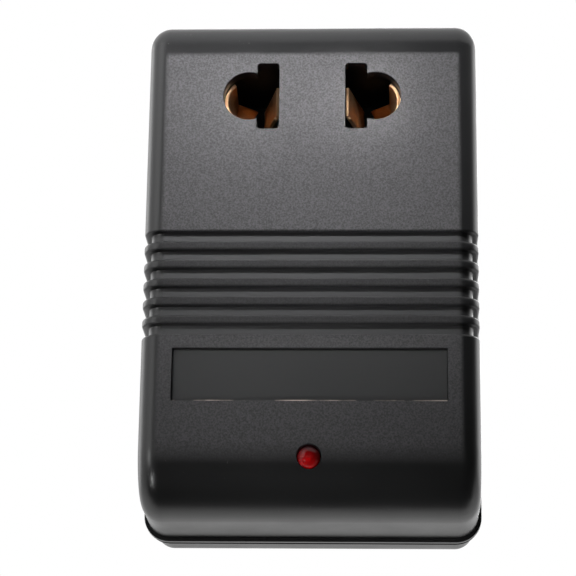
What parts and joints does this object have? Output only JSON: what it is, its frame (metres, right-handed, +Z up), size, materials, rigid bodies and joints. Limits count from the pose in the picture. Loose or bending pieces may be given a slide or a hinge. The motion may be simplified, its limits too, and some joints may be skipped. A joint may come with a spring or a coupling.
{
  "type": "travel voltage converter",
  "caption": "Plug-in travel voltage converter: ribbed black case, combined output sockets in front, indicator lamp, round mains pins behind.",
  "frame": {"origin": "midway between the two mains pins, on the rear face that meets the outlet", "axes": "+Z up the long axis, +Y out of the back along the mains pins, the sockets face -Y"},
  "size_m": [0.0506, 0.0609, 0.0767],
  "materials": {
    "housing_plastic": "spark-eroded black ABS",
    "label_plastic": "smooth satin",
    "lamp_plastic": "tinted, clear",
    "contact_copper": "bright phosphor bronze",
    "pin_nickel": "nickel plated brass",
    "core_steel": "varnished laminations",
    "inner_plastic": "natural nylon",
    "winding_wire": "enamelled copper wire",
    "yellow_tape": "polyester tape",
    "board_laminate": "paper laminate",
    "small_part_body": "lacquered",
    "screw_steel": "zinc plated",
    "wire_red": "vinyl insulation",
    "wire_black": "vinyl insulation"
  },
  "bodies": {
    "root": {"front_housing": "housing_plastic", "rear_cover": "housing_plastic", "label_plate": "label_plastic", "led_lamp": "lamp_plastic", "indicator_board": "board_laminate", "led_resistor": "small_part_body", "led_diode": "wire_black", "contact_left": "contact_copper", "contact_right": "contact_copper", "contact_retainer": "housing_plastic", "retainer_screws": "screw_steel", "input_pin_left": "pin_nickel", "input_pin_right": "pin_nickel", "pin_clamp": "inner_plastic", "pin_clamp_screws": "screw_steel", "core_e_stack": "core_steel", "core_i_bar": "core_steel", "core_screws": "screw_steel", "bobbin": "inner_plastic", "inner_winding": "winding_wire", "outer_winding": "winding_wire", "winding_tape": "yellow_tape", "bobbin_terminals": "pin_nickel", "thermal_fuse": "small_part_body", "fuse_wire": "wire_red", "input_wire_left": "wire_red", "input_wire_right": "wire_black", "output_wire_left": "wire_red", "output_wire_right": "wire_black", "led_wire_left": "wire_red", "led_wire_right": "wire_black", "case_screws": "screw_steel"}
  },
  "joints": []
}
